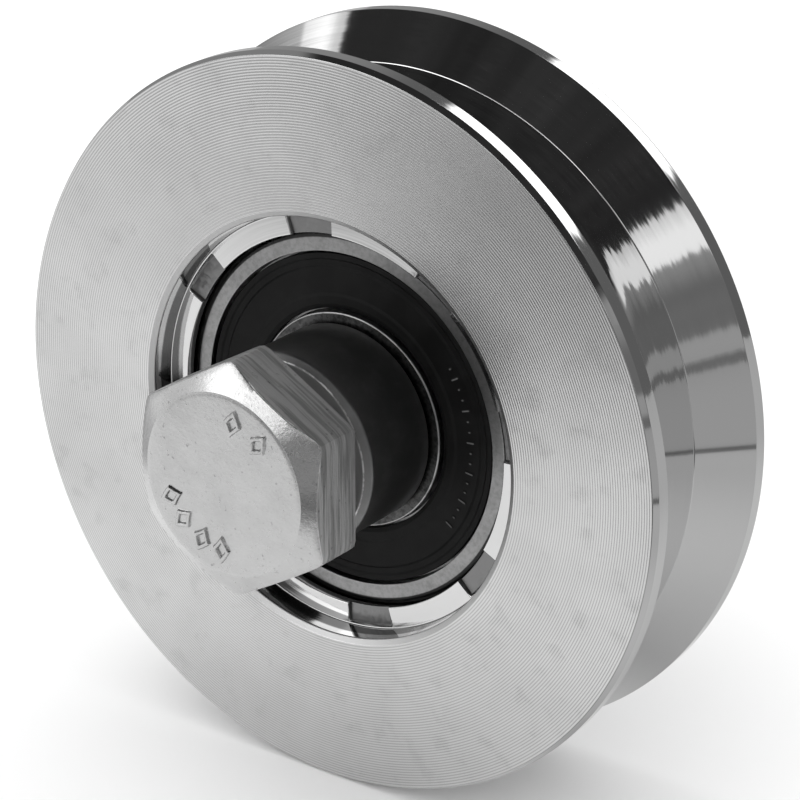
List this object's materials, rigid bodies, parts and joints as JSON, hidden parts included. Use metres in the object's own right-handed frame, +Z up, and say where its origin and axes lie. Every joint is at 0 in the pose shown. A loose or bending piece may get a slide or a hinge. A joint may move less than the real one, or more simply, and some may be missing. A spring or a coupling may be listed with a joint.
{
  "type": "gate wheel",
  "caption": "Steel gate wheel with a V groove round its rim, turning on a sealed ball bearing with spacer bushes, on a hex bolt axle with washers and a nut.",
  "frame": {"origin": "centre of the wheel: on the axle's axis, midway between the wheel's two faces", "axes": "+Y along the axle from the bolt's head to its nut, +Z up, the rail along X under the wheel; the wheel spins about +Y"},
  "size_m": [0.09, 0.0784, 0.09],
  "materials": {
    "turned_steel": "bright turned steel with fine concentric tool marks",
    "bearing_steel": "ground bearing steel",
    "dark_steel": "blackened turned steel, glossy",
    "zinc_plate": "zinc plated, slightly speckled",
    "seal_rubber": "black moulded rubber, satin"
  },
  "bodies": {
    "axle": {"axle_bolt": "zinc_plate", "front_spacer": "dark_steel", "back_spacer": "dark_steel", "bearing_inner_ring": "bearing_steel", "flat_washer": "zinc_plate", "spring_washer": "zinc_plate", "hex_nut": "zinc_plate"},
    "wheel": {"wheel_body": "turned_steel", "bearing_outer_ring": "bearing_steel", "front_seal": "seal_rubber", "back_seal": "seal_rubber"},
    "cage": {"cage_front_half": "bearing_steel", "cage_back_half": "bearing_steel", "cage_rivet_1": "bearing_steel", "cage_rivet_2": "bearing_steel", "cage_rivet_3": "bearing_steel", "cage_rivet_4": "bearing_steel", "cage_rivet_5": "bearing_steel", "cage_rivet_6": "bearing_steel", "cage_rivet_7": "bearing_steel", "cage_rivet_8": "bearing_steel"},
    "ball_1_roll": {"ball_1": "bearing_steel"},
    "ball_2_roll": {"ball_2": "bearing_steel"},
    "ball_3_roll": {"ball_3": "bearing_steel"},
    "ball_4_roll": {"ball_4": "bearing_steel"},
    "ball_5_roll": {"ball_5": "bearing_steel"},
    "ball_6_roll": {"ball_6": "bearing_steel"},
    "ball_7_roll": {"ball_7": "bearing_steel"},
    "ball_8_roll": {"ball_8": "bearing_steel"}
  },
  "joints": [
    {"name": "wheel_spin", "type": "hinge", "parent": "axle", "child": "wheel", "pos_m": [0, 0, 0], "axis": [0, 1, 0], "continuous": true},
    {"name": "cage_spin", "type": "hinge", "parent": "axle", "child": "cage", "pos_m": [0, -0.0005, 0], "axis": [0, 1, 0], "continuous": true},
    {"name": "ball_1_spin", "type": "hinge", "parent": "cage", "child": "ball_1_roll", "pos_m": [0.01675, -0.0005, 0], "axis": [0, 1, 0], "continuous": true},
    {"name": "ball_2_spin", "type": "hinge", "parent": "cage", "child": "ball_2_roll", "pos_m": [0.01184, -0.0005, 0.01184], "axis": [0, 1, 0], "continuous": true},
    {"name": "ball_3_spin", "type": "hinge", "parent": "cage", "child": "ball_3_roll", "pos_m": [0, -0.0005, 0.01675], "axis": [0, 1, 0], "continuous": true},
    {"name": "ball_4_spin", "type": "hinge", "parent": "cage", "child": "ball_4_roll", "pos_m": [-0.01184, -0.0005, 0.01184], "axis": [0, 1, 0], "continuous": true},
    {"name": "ball_5_spin", "type": "hinge", "parent": "cage", "child": "ball_5_roll", "pos_m": [-0.01675, -0.0005, 0], "axis": [0, 1, 0], "continuous": true},
    {"name": "ball_6_spin", "type": "hinge", "parent": "cage", "child": "ball_6_roll", "pos_m": [-0.01184, -0.0005, -0.01184], "axis": [0, 1, 0], "continuous": true},
    {"name": "ball_7_spin", "type": "hinge", "parent": "cage", "child": "ball_7_roll", "pos_m": [0, -0.0005, -0.01675], "axis": [0, 1, 0], "continuous": true},
    {"name": "ball_8_spin", "type": "hinge", "parent": "cage", "child": "ball_8_roll", "pos_m": [0.01184, -0.0005, -0.01184], "axis": [0, 1, 0], "continuous": true}
  ],
  "couplings": [
    {"joint": "cage_spin", "follows": "wheel_spin", "ratio": 0.61848},
    {"joint": "ball_1_spin", "follows": "wheel_spin", "ratio": 1.9916},
    {"joint": "ball_2_spin", "follows": "wheel_spin", "ratio": 1.9916},
    {"joint": "ball_3_spin", "follows": "wheel_spin", "ratio": 1.9916},
    {"joint": "ball_4_spin", "follows": "wheel_spin", "ratio": 1.9916},
    {"joint": "ball_5_spin", "follows": "wheel_spin", "ratio": 1.9916},
    {"joint": "ball_6_spin", "follows": "wheel_spin", "ratio": 1.9916},
    {"joint": "ball_7_spin", "follows": "wheel_spin", "ratio": 1.9916},
    {"joint": "ball_8_spin", "follows": "wheel_spin", "ratio": 1.9916}
  ]
}
